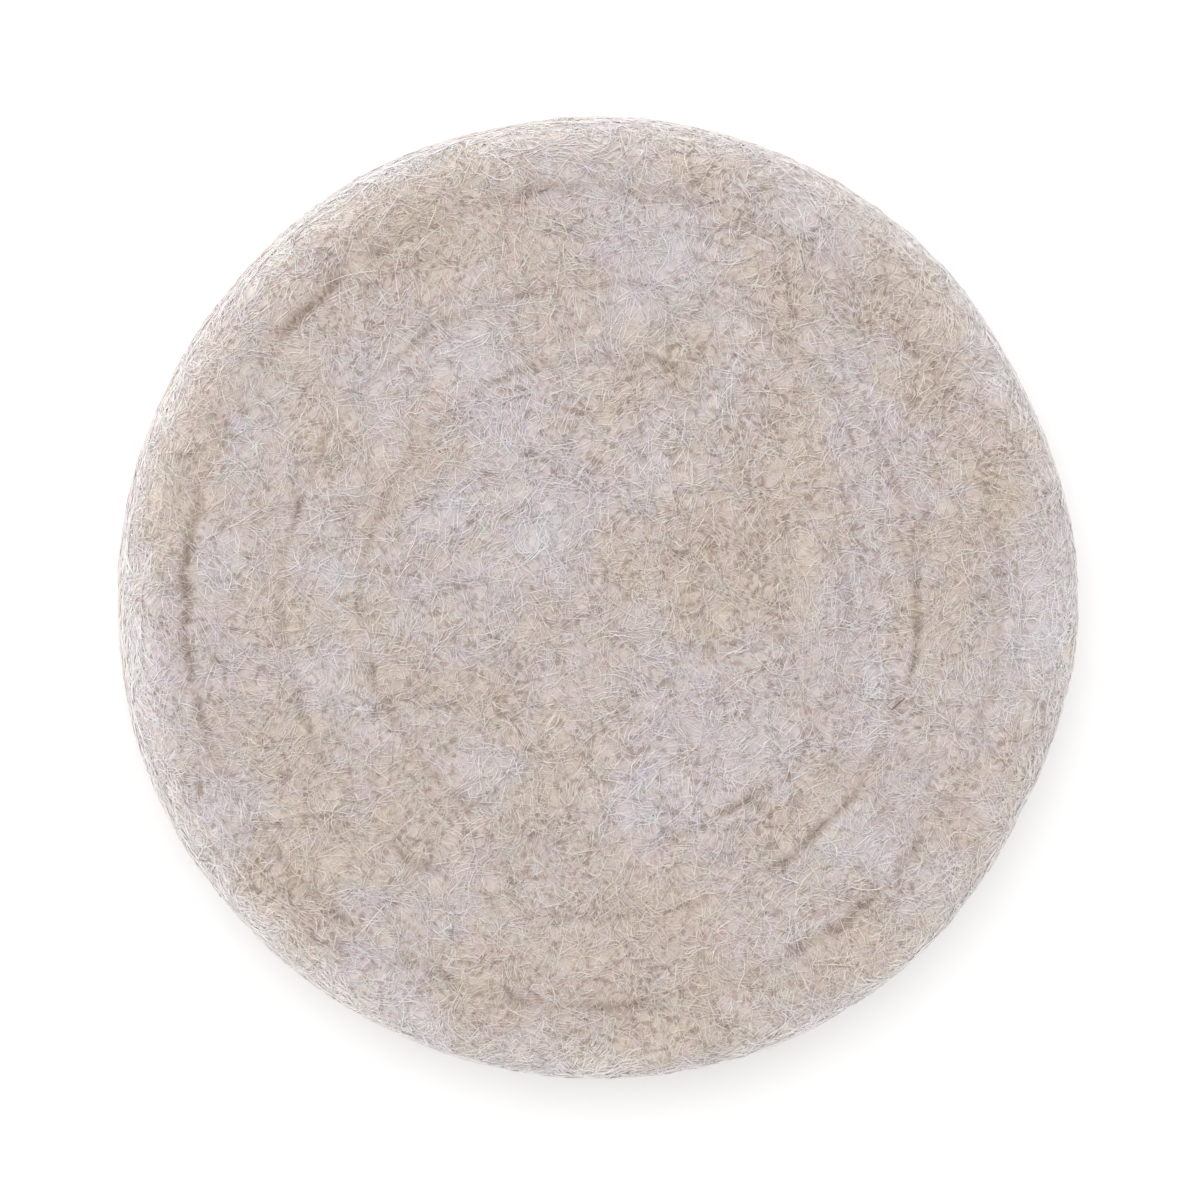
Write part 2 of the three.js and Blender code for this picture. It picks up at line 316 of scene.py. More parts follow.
# Textures in the wool, as cells a metre, and the lengths of its fine threads in metres
BEND_CELLS = 1900.0
BEND_REACH = 0.00035
PIT_CELLS = 6200.0
PIT_CLUSTER_CELLS = 1500.0
SPECK_CELLS = 9000.0
BLEND_CELLS = 2600.0
HUE_CELLS = 2300.0
THREAD_SHEETS = 4
THREAD_SHEET_SHIFT = 0.01
THREAD_CELL_ALONG = 0.0008
THREAD_CELL_ACROSS = 0.00028
THREAD_SHARPNESS = 26.0
THREAD_PALENESS = 0.25

# Pits and specks, painted shade in small hollows between the fibres and along the creases: the
# level of the noise above which they open, how much lower it is where the wool is open or creased,
# and how sharp their borders are
PIT_LEVEL, PIT_LEVEL_FALL, PIT_SHARPNESS = 0.58, 0.1, 7.0
PIT_CLUSTER_SWING = 1.4
LONE_PIT_SHARE = 0.3
SPECK_LEVEL, SPECK_LEVEL_FALL, SPECK_SHARPNESS = 0.58, 0.12, 9.0
SPECK_CREASE_SWING = 2.0

# How far the noise turns the fibres' dye, how strongly the colours of the tufts and the creases
# show, the creases' being partly pressed wool and partly painted shade, and where and how sharply
# the wool turns from olive to rose
BLEND_SWING = 1.3
COOL_SHARE = 0.6
PRESSED_SWING = 1.3
PRESSED_SHARE = 0.8
HUE_LEVEL = 0.33
HUE_SWING = 3.0

# How far the colours turn to that of the pits, as painted shade: the mat in all, as it lies under
# the loose fibres, between its threads and where it is open, then in the pits, and the fibres over
# pits;
# and how far the fibres turn to it by their tone, which differs at random
MAT_PAINTED_SHADE = 0.31
MAT_GAP_PAINTED_SHADE = 0.05
MAT_OPEN_PAINTED_SHADE = 0.12
MAT_PIT_PAINTED_SHADE = 0.85
FIBRE_PIT_PAINTED_SHADE = 0.62
FIBRE_TONE_SHADE = 0.3

# Gloss and relief of the wool, the relief in metres
WOOL_SPECULAR = 0.2
SHEEN_ROUGHNESS = 0.6
MAT_ROUGHNESS, THREAD_ROUGHNESS_FALL = 0.95, 0.1
FIBRE_ROUGHNESS, PIT_ROUGHNESS_RISE = 0.8, 0.15
HAIR_ROUGHNESS = 0.7
BUMP_STRENGTH = 0.5
BUMP_HEIGHT = 0.00003
THREAD_BUMP = 0.5

# Colours that the wool is multiplied by where it turns olive and where it turns rose
OLIVE_CAST = (0.995, 1.0, 0.975, 1)
ROSE_CAST = (1.0, 0.965, 0.985, 1)
WHITE = (1, 1, 1, 1)

# Seeds of the noise, one for each use
LUMP_SEED, HOLLOW_SEED, HOLLOW_CLUSTER_SEED = 1, 2, 3
PATCH_BEND_SEEDS, PATCH_FRAY_SEEDS = (5, 6), (7, 8)
CLOUD_SEED, SMALL_CLOUD_SEED, FLEECE_SEED, OPEN_SEED = 11, 12, 13, 14
FLOW_SEED, WANDER_SEED, BREAK_SEED = 15, 16, 17

GOLDEN_TURN = math.pi * (3 - math.sqrt(5))
HASH_PRIMES = np.array((73856093, 19349663, 83492791), np.int64)
HASH_SEED_STEP = 2654435761
HASH_SHIFTS = (33, 29, 32)
HASH_LAST_SHIFT = np.uint64(31)
HASH_FACTOR = np.uint64(0xFF51AFD7ED558CCD)


def smooth_step(share):
    share = np.clip(share, 0, 1)
    return share * share * (3 - 2 * share)


def bell(distance, spread):
    return np.exp(-0.5 * (distance / spread) ** 2)


def angle_between(angle, other):
    """Signed difference of two angles in degrees, between -180 and 180."""
    return (angle - other + 180) % 360 - 180


def lattice_value(cells, seed):
    """A fixed random value between -1 and 1 for each whole-numbered cell."""
    mixed = ((cells * HASH_PRIMES).sum(-1) + seed * HASH_SEED_STEP).astype(np.uint64)
    for shift in HASH_SHIFTS:
        mixed ^= mixed >> np.uint64(shift)
        mixed *= HASH_FACTOR
    mixed ^= mixed >> HASH_LAST_SHIFT
    return mixed.astype(np.float64) / 2**63 - 1


def noise(points, cell, seed):
    """Smooth noise between -1 and 1 at points in millimetres, with features of about one cell."""
    at = points / cell
    low = np.floor(at).astype(np.int64)
    part = smooth_step(at - low)
    total = np.zeros(points.shape[:-1])
    for corner in product((0, 1), repeat=3):
        weight = np.where(np.array(corner) == 1, part, 1 - part).prod(-1)
        total += weight * lattice_value(low + np.array(corner), seed)
    return total


def outline_shift(degrees):
    """How far the worn outline lies outside the true circle."""
    return sum(
        depth * bell(angle_between(degrees, at), spread) for at, spread, depth in OUTLINE_MARKS
    )


def pressed_depth(faint, stretches, degrees):
    """How deep a ring of creases is pressed at each angle."""
    depth = np.full(degrees.shape, float(faint))
    for start, end, most in stretches:
        half = (end - start) / 2
        beyond = np.abs(angle_between(degrees, start + half)) - half
        share = 1 - smooth_step((beyond + CREASE_ARC_FADE) / (2 * CREASE_ARC_FADE))
        depth = np.maximum(depth, most * share)
    return depth


def crease_section(across):
    """Height across a crease whose valley is 1 deep, at distances in half widths."""
    return LIP_SHARE * np.exp(-((np.abs(across) - LIP_OFFSET) ** 2)) - np.exp(-(across**2))


def section_at(along):
    """Radius, height and lean of the normal at lengths along the half section, in millimetres.

    The lean is 0 on the face, a quarter turn on the wall and half a turn on the back.
    """
    face_turn = np.clip((along - FACE_END) / FACE_EDGE_RADIUS, 0, QUARTER_TURN)
    back_turn = np.clip((along - WALL_END) / BACK_EDGE_RADIUS, 0, QUARTER_TURN)
    down_wall = np.clip(along - FACE_EDGE_END, 0, WALL_HEIGHT)
    radius = np.clip(along, 0, FACE_END) + FACE_EDGE_RADIUS * np.sin(face_turn)
    radius = radius + WALL_BELLY * np.sin(math.pi * down_wall / WALL_HEIGHT)
    radius = radius - BACK_EDGE_RADIUS * (1 - np.cos(back_turn))
    radius = radius - np.clip(along - BACK_EDGE_END, 0, None)
    crown = FACE_CROWN * (1 - (np.clip(along, 0, FACE_END) / FACE_END) ** 2)
    height = PAD_THICKNESS - FACE_CROWN + crown - FACE_EDGE_RADIUS * (1 - np.cos(face_turn))
    height = height - down_wall - BACK_EDGE_RADIUS * np.sin(back_turn)
    return radius, height, face_turn + back_turn


def unrolled_noise(along, angle, cell, seed):
    """Noise at places on the half section, unrolled round the middle of the face."""
    spots = np.stack((along * np.cos(angle), along * np.sin(angle), np.zeros(along.shape)), -1)
    return noise(spots, cell, seed)


def crease_wander(along, angle):
    """How far the creases stray from true rings at places on the face."""
    return CREASE_WANDER * unrolled_noise(along, angle, CREASE_WANDER_CELL, WANDER_SEED)


def crease_breaks(along, angle):
    """How whole the creases are at places on the face: fibres that bridge them break them up."""
    swing = BREAK_SWING * unrolled_noise(along, angle, BREAK_CELL, BREAK_SEED)
    return BREAK_LEAST + (1 - BREAK_LEAST) * smooth_step(0.5 + swing)


def pad_surface(along, angle, lift):
    """Points of the worn pad and its normals there, with lift outwards, all in millimetres."""
    radius, height, lean = section_at(along)
    degrees = np.degrees(angle)
    face_share = smooth_step(np.cos(lean))
    outward = outline_shift(degrees) * (radius / PAD_RADIUS) ** 4
    wander = crease_wander(along, angle)
    open_share = OPEN_DEPTH_SHARE * crease_breaks(along, angle)
    for inset, open_width, (off_x, off_y), faint, stretches in CREASE_RINGS:
        across = radius + wander - (PAD_RADIUS - inset)
        towards = off_x * np.cos(angle) + off_y * np.sin(angle)
        outward = outward + towards * bell(across, RING_SHIFT_SPREAD) * face_share
        depth = pressed_depth(faint, stretches, degrees) * face_share
        height = height + open_share * depth * crease_section(across / open_width)
    direction = np.stack((np.cos(angle), np.sin(angle), np.zeros_like(angle)), -1)
    normal = direction * np.sin(lean)[..., None]
    normal[..., 2] += np.cos(lean)
    points = direction * (radius + outward)[..., None]
    points[..., 2] += height
    lumps = MAT_LUMP_HEIGHT * noise(points, MAT_LUMP_CELL, LUMP_SEED)
    lumps = lumps * smooth_step(1 + np.cos(lean))
    points += normal * (lift + lumps)[..., None]
    return points, normal


def patch_sum(points, patches, stray=1.0):
    """How strongly a list of patches covers points: their borders are broken up by noise."""
    bend = np.stack([noise(points, PATCH_BEND_CELL, seed) for seed in PATCH_BEND_SEEDS], -1)
    fray = np.stack([noise(points, PATCH_FRAY_CELL, seed) for seed in PATCH_FRAY_SEEDS], -1)
    moved = points[..., :2] + (bend * PATCH_BEND * stray + fray * PATCH_FRAY)
    x, y = moved[..., 0], moved[..., 1]
    return sum(
        strength * bell(np.hypot(x - patch_x, y - patch_y), spread)
        for patch_x, patch_y, spread, strength in patches
    )


def dye_at(points, upward):
    """Brownness, paleness, openness and coolness of the wool at points, each from 0 to 1.

    upward is the upward part of the normal there.
    """
    on_face = smooth_step(upward)
    facing = np.abs(upward)
    brown = patch_sum(points, BROWN_PATCHES) * on_face
    grey = patch_sum(points, GREY_PATCHES) * on_face
    opened = (patch_sum(points, OPEN_PATCHES) - patch_sum(points, CLOSED_PATCHES)) * on_face
    clouds = CLOUD_SWING * noise(points, CLOUD_CELL, CLOUD_SEED)
    clouds += SMALL_CLOUD_SWING * noise(points, SMALL_CLOUD_CELL, SMALL_CLOUD_SEED)
    clouds = clouds * (WALL_CLOUD_SHARE - FACE_CLOUD_FALL * on_face)
    brownness = 0.5 + PATCH_SWING * (brown - grey) + clouds
    cool = patch_sum(points, COOL_TUFTS, COOL_TUFT_STRAY) * on_face
    fleece = np.clip(noise(points, FLEECE_CELL, FLEECE_SEED), 0, 1) - FLEECE_GAP_SHARE * opened
    # Paler where the surface turns from facing up, most high on the wall: partly rubbed wool,
    # partly painted rim highlight
    up_wall = smooth_step((points[..., 2] - PALE_RIM_LOW) / PALE_RIM_FADE)
    rim = (1 - facing**2) * (WALL_WEAR_AND_LIGHT + RIM_WEAR_AND_LIGHT * up_wall)
    paleness = BASE_PALENESS + GREY_PALENESS * grey + FLEECE_PALENESS * fleece
    paleness = paleness + COOL_PALENESS * cool + rim
    openness = 0.5 + OPEN_SWING * noise(points, OPEN_CELL, OPEN_SEED)
    openness += BROWN_OPENNESS * (brown - grey) + PATCH_OPENNESS * opened
    openness = openness * (WALL_OPENNESS + (1 - WALL_OPENNESS) * facing)
    return {
        "brownness": np.clip(brownness, 0, 1),
        "paleness": np.clip(paleness, 0, 1),
        "openness": np.clip(openness, 0, 1),
        "cool": np.clip(cool, 0, 1),
    }


def crease_stain_and_shade(along, angle):
    """How dark the creases are at places on the face, from 0 beside them to 1 in the deepest:
    partly browner pressed wool, partly painted shade.
    """
    radius, _, lean = section_at(along)
    wander = crease_wander(along, angle)
    stain_and_shade = np.zeros(along.shape)
    for inset, open_width, _, faint, stretches in CREASE_RINGS:
        across = (radius + wander - (PAD_RADIUS - inset)) / open_width
        pressed = pressed_depth(faint, stretches, np.degrees(angle)) / STAIN_AND_SHADE_DEPTH
        stain_and_shade = np.maximum(stain_and_shade, STAIN_AND_SHADE_SHARE * pressed * np.exp(-(across**2)))
    return np.clip(stain_and_shade * crease_breaks(along, angle), 0, 1) * smooth_step(np.cos(lean))


def linked_object(name, data):
    """A new object of a mesh, lamp or camera, linked into the scene."""
    obj = bpy.data.objects.new(name, data)
    bpy.context.scene.collection.objects.link(obj)
    return obj


def mesh_object(name, points, triangles, values):
    """A smooth mesh object from points in millimetres, with a named number on each point."""
    mesh = bpy.data.meshes.new(name)
    mesh.from_pydata((points * MM).tolist(), [], triangles.tolist())
    mesh.polygons.foreach_set("use_smooth", np.ones(len(mesh.polygons), bool))
    for key, value in values.items():
        layer = mesh.attributes.new(key, "FLOAT", "POINT")
        layer.data.foreach_set("value", np.ascontiguousarray(value, np.float32))
    mesh.update()
    return linked_object(name, mesh)


def dress(obj, material):
    """Gives a piece of the pad its material and says what it is in the frame."""
    obj.data.materials.append(material)
    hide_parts(PAD_NODE)
    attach(obj, "root")


def ring_counts(radii):
    """Corners on each ring, doubling outwards so that no side is much longer than the step."""
    counts = []
    corners = FIRST_RING_CORNERS
    for radius in radii:
        while 2 * math.pi * radius / corners > WIDEST_CORNER:
            corners *= 2
        counts.append(corners)
    return counts


def ring_corners(start, count):
    """Numbers of a ring's corners, and of the corner after each."""
    order = np.arange(count)
    return start + order, start + (order + 1) % count


def strip(start, count, next_start, next_count):
    """Triangles between two rings, the second with as many corners or twice as many."""
    here, after = ring_corners(start, count)
    if next_count == count:
        far, far_after = ring_corners(next_start, count)
        return np.concatenate((
            np.stack((here, far, far_after), -1),
            np.stack((here, far_after, after), -1),
        ))
    first = next_start + 2 * np.arange(count)
    middle = first + 1
    last = next_start + (2 * np.arange(count) + 2) % next_count
    return np.concatenate((
        np.stack((here, first, middle), -1),
        np.stack((here, middle, after), -1),
        np.stack((after, middle, last), -1),
    ))


def fan(centre, start, count, turned):
    """Triangles from one point to the ring round it, turned over where it faces down."""
    here, after = ring_corners(start, count)
    middle = np.full(count, centre)
    return np.stack((middle, after, here) if turned else (middle, here, after), -1)


def mat_rings():
    """Lengths along the half section and corner counts of the mat's rings, face then back."""
    front = np.concatenate((
        np.arange(FACE_STEP, FACE_END, FACE_STEP),
        np.arange(FACE_END, FACE_EDGE_END, EDGE_STEP),
        np.arange(FACE_EDGE_END, WALL_END, WALL_STEP),
        np.arange(WALL_END, BACK_EDGE_END, EDGE_STEP),
    ))
    counts = ring_counts(section_at(np.minimum(front, FACE_EDGE_END))[0])
    back_counts = []
    corners = counts[-1]
    while corners > FIRST_RING_CORNERS:
        back_counts.append(corners)
        corners //= 2
    share = np.arange(1, len(back_counts) + 1) / (len(back_counts) + 1)
    back = BACK_EDGE_END + (SECTION_END - BACK_EDGE_END) * share
    return np.concatenate((front, back)), counts + back_counts


def mat_sink(points, upward):
    """How far the mat lies under the pad's surface at points, with hollows in clusters."""
    cluster = noise(points, HOLLOW_CLUSTER_CELL, HOLLOW_CLUSTER_SEED)
    crowd = smooth_step(cluster * HOLLOW_CLUSTER_SWING + 0.5)
    hollow = smooth_step(noise(points, HOLLOW_CELL, HOLLOW_SEED) * HOLLOW_SWING - 0.5)
    hollow = hollow * (LONE_HOLLOW_SHARE + (1 - LONE_HOLLOW_SHARE) * crowd)
    hollow = hollow * (WALL_HOLLOW_SHARE + (1 - WALL_HOLLOW_SHARE) * smooth_step(upward))
    return MAT_BACK_SINK + (MAT_SINK + HOLLOW_DEPTH * hollow) * smooth_step(1 + upward)


class Wire:
    """A shader socket that can be used in sums and products."""

    def __init__(self, tree, socket):
        self.tree = tree
        self.socket = socket

    def math(self, operation, *values):
        node = self.tree.node("ShaderNodeMath", {"operation": operation}, dict(enumerate(values)))
        return node.out("Value")

    def __add__(self, other):
        return self.math("ADD", self, other)

    def __radd__(self, other):
        return self.math("ADD", other, self)

    def __sub__(self, other):
        return self.math("SUBTRACT", self, other)

    def __rsub__(self, other):
        return self.math("SUBTRACT", other, self)

    def __mul__(self, other):
        return self.math("MULTIPLY", self, other)

    def __rmul__(self, other):
        return self.math("MULTIPLY", other, self)

    def clamped(self):
        return self.math("MINIMUM", self.math("MAXIMUM", self, 0.0), 1.0)


class Node:
    """A shader node whose outputs are read as wires."""

    def __init__(self, tree, node):
        self.tree = tree
        self.node = node

    def out(self, name):
        return Wire(self.tree, self.node.outputs[name])


class Tree:
    """A material's or world's nodes, emptied and ready to be wired."""

    def __init__(self, owner):
        owner.use_nodes = True
        self.nodes = owner.node_tree.nodes
        self.links = owner.node_tree.links
        self.nodes.clear()

    def node(self, kind, settings=None, sockets=None):
        made = self.nodes.new(kind)
        for key, value in (settings or {}).items():
            setattr(made, key, value)
        for key, value in (sockets or {}).items():
            if isinstance(value, Wire):
                self.links.new(value.socket, made.inputs[key])
            else:
                made.inputs[key].default_value = value
        return Node(self, made)

    def value_of(self, name):
        return self.node("ShaderNodeAttribute", {"attribute_name": name}).out("Fac")

    def mix(self, share, first, second, blend="MIX"):
        settings = {"data_type": "RGBA", "blend_type": blend}
        mixed = self.node("ShaderNodeMix", settings, {0: share, 6: first, 7: second})
        return Wire(self, mixed.node.outputs[2])

    def grain(self, place, cells, detail=1.0, output="Fac"):
        sockets = {"Vector": place, "Scale": cells, "Detail": detail}
        return self.node("ShaderNodeTexNoise", None, sockets).out(output)

    def surface(self, sockets):
        shader = self.node("ShaderNodeBsdfPrincipled", None, sockets)
        self.node("ShaderNodeOutputMaterial", None, {"Surface": shader.out("BSDF")})


def bent_place(tree):
    """Place on the pad, bent a little this way and that so that no texture looks regular."""
    place = tree.node("ShaderNodeTexCoord").out("Object")
    wander = tree.grain(place, BEND_CELLS, output="Color")
    return tree.node("ShaderNodeVectorMath", {"operation": "MULTIPLY_ADD"}, {
        0: wander, 1: (BEND_REACH, BEND_REACH, BEND_REACH), 2: place,
    }).out("Vector")


def wool_colour(tree, place, colours):
    """Colour of the blended wool: beige and lilac grey, with undyed wool among them."""
    blend = (tree.grain(place, BLEND_CELLS) - 0.5) * BLEND_SWING
    brownness = (tree.value_of("brownness") + blend).clamped()
    base = tree.mix(brownness, (*colours.grey_wool, 1), (*colours.brown_wool, 1))
    undyed = tree.mix(brownness, (*colours.pale_wool, 1), (*colours.cream_wool, 1))
    base = tree.mix(tree.value_of("paleness"), base, undyed)
    base = tree.mix(tree.value_of("cool") * COOL_SHARE, base, (*colours.cool_wool, 1))
    # Creases darken towards the pressed wool: partly browner wool, partly painted shade
    pressed = (tree.value_of("crease") * PRESSED_SWING).clamped() * PRESSED_SHARE
    base = tree.mix(pressed, base, (*colours.pressed_wool_and_shade, 1))
    hue = ((tree.grain(place, HUE_CELLS) - HUE_LEVEL) * HUE_SWING).clamped()
    cast = tree.mix(hue, OLIVE_CAST, ROSE_CAST)
    return tree.mix(1.0, base, cast, "MULTIPLY")


def pits(tree, place, openness):
    """Painted shade in small soft pits between the fibres, in clusters, from 0 beside them to 1 in
    their middles.
    """
    cluster = (tree.grain(place, PIT_CLUSTER_CELLS) - 0.5) * PIT_CLUSTER_SWING
    crowd = (openness + cluster).clamped()
    above = tree.grain(place, PIT_CELLS) - PIT_LEVEL + PIT_LEVEL_FALL * crowd
    return (above * PIT_SHARPNESS).clamped() * (LONE_PIT_SHARE + (1 - LONE_PIT_SHARE) * crowd)


def crease_pit_shade(tree, place):
    """Dark specks of painted shade strung along the pressed creases, from 0 beside them to 1 at
    their middles.
    """
    crease = tree.value_of("crease")
    above = tree.grain(place, SPECK_CELLS) - SPECK_LEVEL + SPECK_LEVEL_FALL * crease
    return (above * SPECK_SHARPNESS).clamped() * (crease * SPECK_CREASE_SWING).clamped()


def threads(tree, place):
    """Fine curly threads in many directions, from 0 between them to 1 on them."""
    total = None
    for index in range(THREAD_SHEETS):
        turned = tree.node("ShaderNodeMapping", {"vector_type": "TEXTURE"}, {
            "Vector": place,
            "Location": (THREAD_SHEET_SHIFT * index, 0.0, 0.0),
            "Rotation": (0.0, 0.0, math.pi * index / THREAD_SHEETS),
            "Scale": (THREAD_CELL_ALONG, THREAD_CELL_ACROSS, THREAD_CELL_ACROSS),
        }).out("Vector")
        off = tree.grain(turned, 1.0, 0.0) - 0.5
        line = (1.0 - off.math("ABSOLUTE", off) * THREAD_SHARPNESS).clamped()
        total = line if total is None else total.math("MAXIMUM", total, line)
    return total


def mat_material(colours):
    """The dense wool under the loose fibres: fine threads, with painted shade all over and in brown
    pits in clusters.
    """
    material = bpy.data.materials.new("felt_mat_wool")
    tree = Tree(material)
    place = bent_place(tree)
    lines = threads(tree, place)
    openness = tree.value_of("openness")
    # Painted shade in the pits and in the specks along the creases
    deep = (pits(tree, place, openness) + crease_pit_shade(tree, place)).clamped()
    wool = wool_colour(tree, place, colours)
    spun = tree.mix(lines * THREAD_PALENESS, wool, (*colours.pale_wool, 1))
    # Painted shade under the loose fibres: the mat darker all over, more between its threads and
    # where it is open, less where the wool is pale, as at the rim
    between = (MAT_GAP_PAINTED_SHADE + openness * MAT_OPEN_PAINTED_SHADE) * (1.0 - lines)
    shade = (MAT_PAINTED_SHADE + between) * (1.0 - tree.value_of("paleness"))
    shaded = tree.mix(shade, spun, (*colours.pit_shade_and_dark_tone, 1))
    bump = tree.node("ShaderNodeBump", None, {
        "Strength": BUMP_STRENGTH, "Distance": BUMP_HEIGHT, "Height": lines * THREAD_BUMP - deep,
    })
    tree.surface({
        "Base Color": tree.mix(deep * MAT_PIT_PAINTED_SHADE, shaded, (*colours.pit_shade_and_dark_tone, 1)),
        "Roughness": MAT_ROUGHNESS - THREAD_ROUGHNESS_FALL * lines,
        "Specular IOR Level": WOOL_SPECULAR,
        "Sheen Weight": colours.sheen,
        "Sheen Roughness": SHEEN_ROUGHNESS,
        "Normal": bump.out("Normal"),
    })
    return material


def fibre_material(colours):
    """Single wool fibres, each with its own dye and tone, with painted shade over the pits."""
    material = bpy.data.materials.new("felt_fibre_wool")
    tree = Tree(material)
    place = bent_place(tree)
    # Painted shade in the pits and in the specks along the creases
    deep = (pits(tree, place, tree.value_of("openness")) + crease_pit_shade(tree, place)).clamped()
    wool = wool_colour(tree, place, colours)
    dull = (1.0 - tree.value_of("tone")) * FIBRE_TONE_SHADE
    tree.surface({
        "Base Color": tree.mix((deep * FIBRE_PIT_PAINTED_SHADE + dull).clamped(), wool, (*colours.pit_shade_and_dark_tone, 1)),
        "Roughness": FIBRE_ROUGHNESS + deep * PIT_ROUGHNESS_RISE,
        "Specular IOR Level": WOOL_SPECULAR,
    })
    return material


def hair_material(colours):
    """Stray hairs on the face, from undyed to dark brown."""
    material = bpy.data.materials.new("felt_stray_hair")
    tree = Tree(material)
    mottle = HAIR_LEAST_DARKNESS + tree.grain(bent_place(tree), PIT_CELLS) * HAIR_MOTTLE
    darkness = (tree.value_of("darkness") * mottle).clamped()
    tree.surface({
        "Base Color": tree.mix(darkness, (*colours.pale_wool, 1), (*colours.dark_hair, 1)),
        "Roughness": HAIR_ROUGHNESS,
        "Specular IOR Level": WOOL_SPECULAR,
    })
    return material


def fibre_paths(layer, draws, count, settings):
    """Paths of a layer's loose fibres that curve over the pad.

    They come as two coordinates on the unrolled pad and the lift over it, in millimetres.
    """
    locks = math.ceil(count / FIBRES_IN_LOCK)
    spots = np.linspace(*layer.reach, SECTION_SAMPLES)
    weight = np.cumsum(section_at(spots)[0])
    even = (np.arange(locks) + 0.5) / locks
    along = np.interp(even * (weight[-1] - weight[0]) + weight[0], weight, spots)
    angle = (draws.random() * 2 * math.pi + GOLDEN_TURN * np.arange(locks)) % (2 * math.pi)
    start = np.stack((along * np.cos(angle), along * np.sin(angle), np.zeros(locks)), -1)
    start += draws.normal(0, LOCK_STRAY, (locks, 3)) * (1, 1, 0)
    heading = 2 * math.pi * noise(start, FLOW_CELL, FLOW_SEED) + draws.normal(0, FLOW_SPREAD, locks)
    round_way = angle + QUARTER_TURN + math.pi * draws.integers(0, 2, locks)
    runs_round = draws.random(locks) < layer.sideways
    heading = np.where(runs_round, round_way + draws.normal(0, FIBRE_WAY_SPREAD, locks), heading)
    lock = np.arange(count) // FIBRES_IN_LOCK
    start = start[lock] + draws.normal(0, LOCK_SPREAD, (count, 3))
    lengths = (settings.shortest / MM, settings.usual / MM, settings.longest / MM)
    length = draws.triangular(*lengths, count)
    share = np.linspace(0, 1, FIBRE_POINTS)
    turned = draws.normal(0, layer.bend, locks)[lock] + draws.normal(0, FIBRE_BEND_SPREAD, count)
    turned = turned[:, None] * (share - 0.5)
    phase = (draws.random(locks)[lock] + draws.normal(0, FIBRE_WAVE_SPREAD, count))[:, None]
    crimp = draws.normal(0, FIBRE_CRIMP, locks)[lock][:, None]
    wave = crimp * np.sin(2 * math.pi * (FIBRE_WAVES * share + phase))
    way = (heading[lock] + draws.normal(0, FIBRE_WAY_SPREAD, count))[:, None] + turned + wave
    step = length[:, None] / (FIBRE_POINTS - 1)
    across = np.cumsum(np.cos(way) * step, 1)
    up = np.cumsum(np.sin(way) * step, 1)
    u = start[:, :1] + across - across.mean(1, keepdims=True)
    v = start[:, 1:2] + up - up.mean(1, keepdims=True)
    base = draws.uniform(*layer.lift, count)[:, None]
    slope = draws.normal(0, FIBRE_TILT, count)[:, None] * (share - 0.5)
    rise = draws.uniform(*layer.arch, count)[:, None] * np.sin(math.pi * share)
    return u, v, base + slope + rise


def tubes(points, normals, widths):
    """Three-sided tubes along paths, pointed at both ends, as points and triangles."""
    count = len(points)
    tangent = np.gradient(points, axis=1)
    tangent /= np.linalg.norm(tangent, axis=-1, keepdims=True)
    side = np.cross(tangent, normals)
    side /= np.maximum(np.linalg.norm(side, axis=-1, keepdims=True), 1e-9)
    up = np.cross(side, tangent)
    rings_each = points.shape[1] - 2
    swell = np.ones(rings_each)
    swell[[0, -1]] = FIBRE_END_SWELL
    swell = swell[None, :, None, None]
    turn = np.arange(FIBRE_SIDES) * 2 * math.pi / FIBRE_SIDES
    circle = side[:, 1:-1, None] * np.cos(turn)[:, None] + up[:, 1:-1, None] * np.sin(turn)[:, None]
    rings = points[:, 1:-1, None] + circle * swell * (widths / 2)[:, None, None, None]
    body = rings.reshape(count, rings_each * FIBRE_SIDES, 3)
    corners = np.concatenate((points[:, :1], body, points[:, -1:]), 1)
    per_fibre = corners.shape[1]
    faces = []
    for side_index in range(FIBRE_SIDES):
        beside = (side_index + 1) % FIBRE_SIDES
        faces.append((0, 1 + side_index, 1 + beside))
        for ring in range(rings_each - 1):
            low, high = 1 + ring * FIBRE_SIDES, 1 + (ring + 1) * FIBRE_SIDES
            faces.append((low + side_index, high + side_index, high + beside))
            faces.append((low + side_index, high + beside, low + beside))
        last = 1 + (rings_each - 1) * FIBRE_SIDES
        faces.append((per_fibre - 1, last + beside, last + side_index))
    starts = np.arange(count) * per_fibre
    triangles = np.array(faces)[None] + starts[:, None, None]
    return corners.reshape(-1, 3), triangles.reshape(-1, 3), per_fibre


def moved_to_back(u, v):
    """Paths on the back, unrolled round its own middle and no longer round that of the face."""
    middle_u, middle_v = u.mean(1, keepdims=True), v.mean(1, keepdims=True)
    distance = np.hypot(middle_u, middle_v)
    closer = (SECTION_END - distance) / distance
    return u - middle_u + middle_u * closer, v - middle_v + middle_v * closer


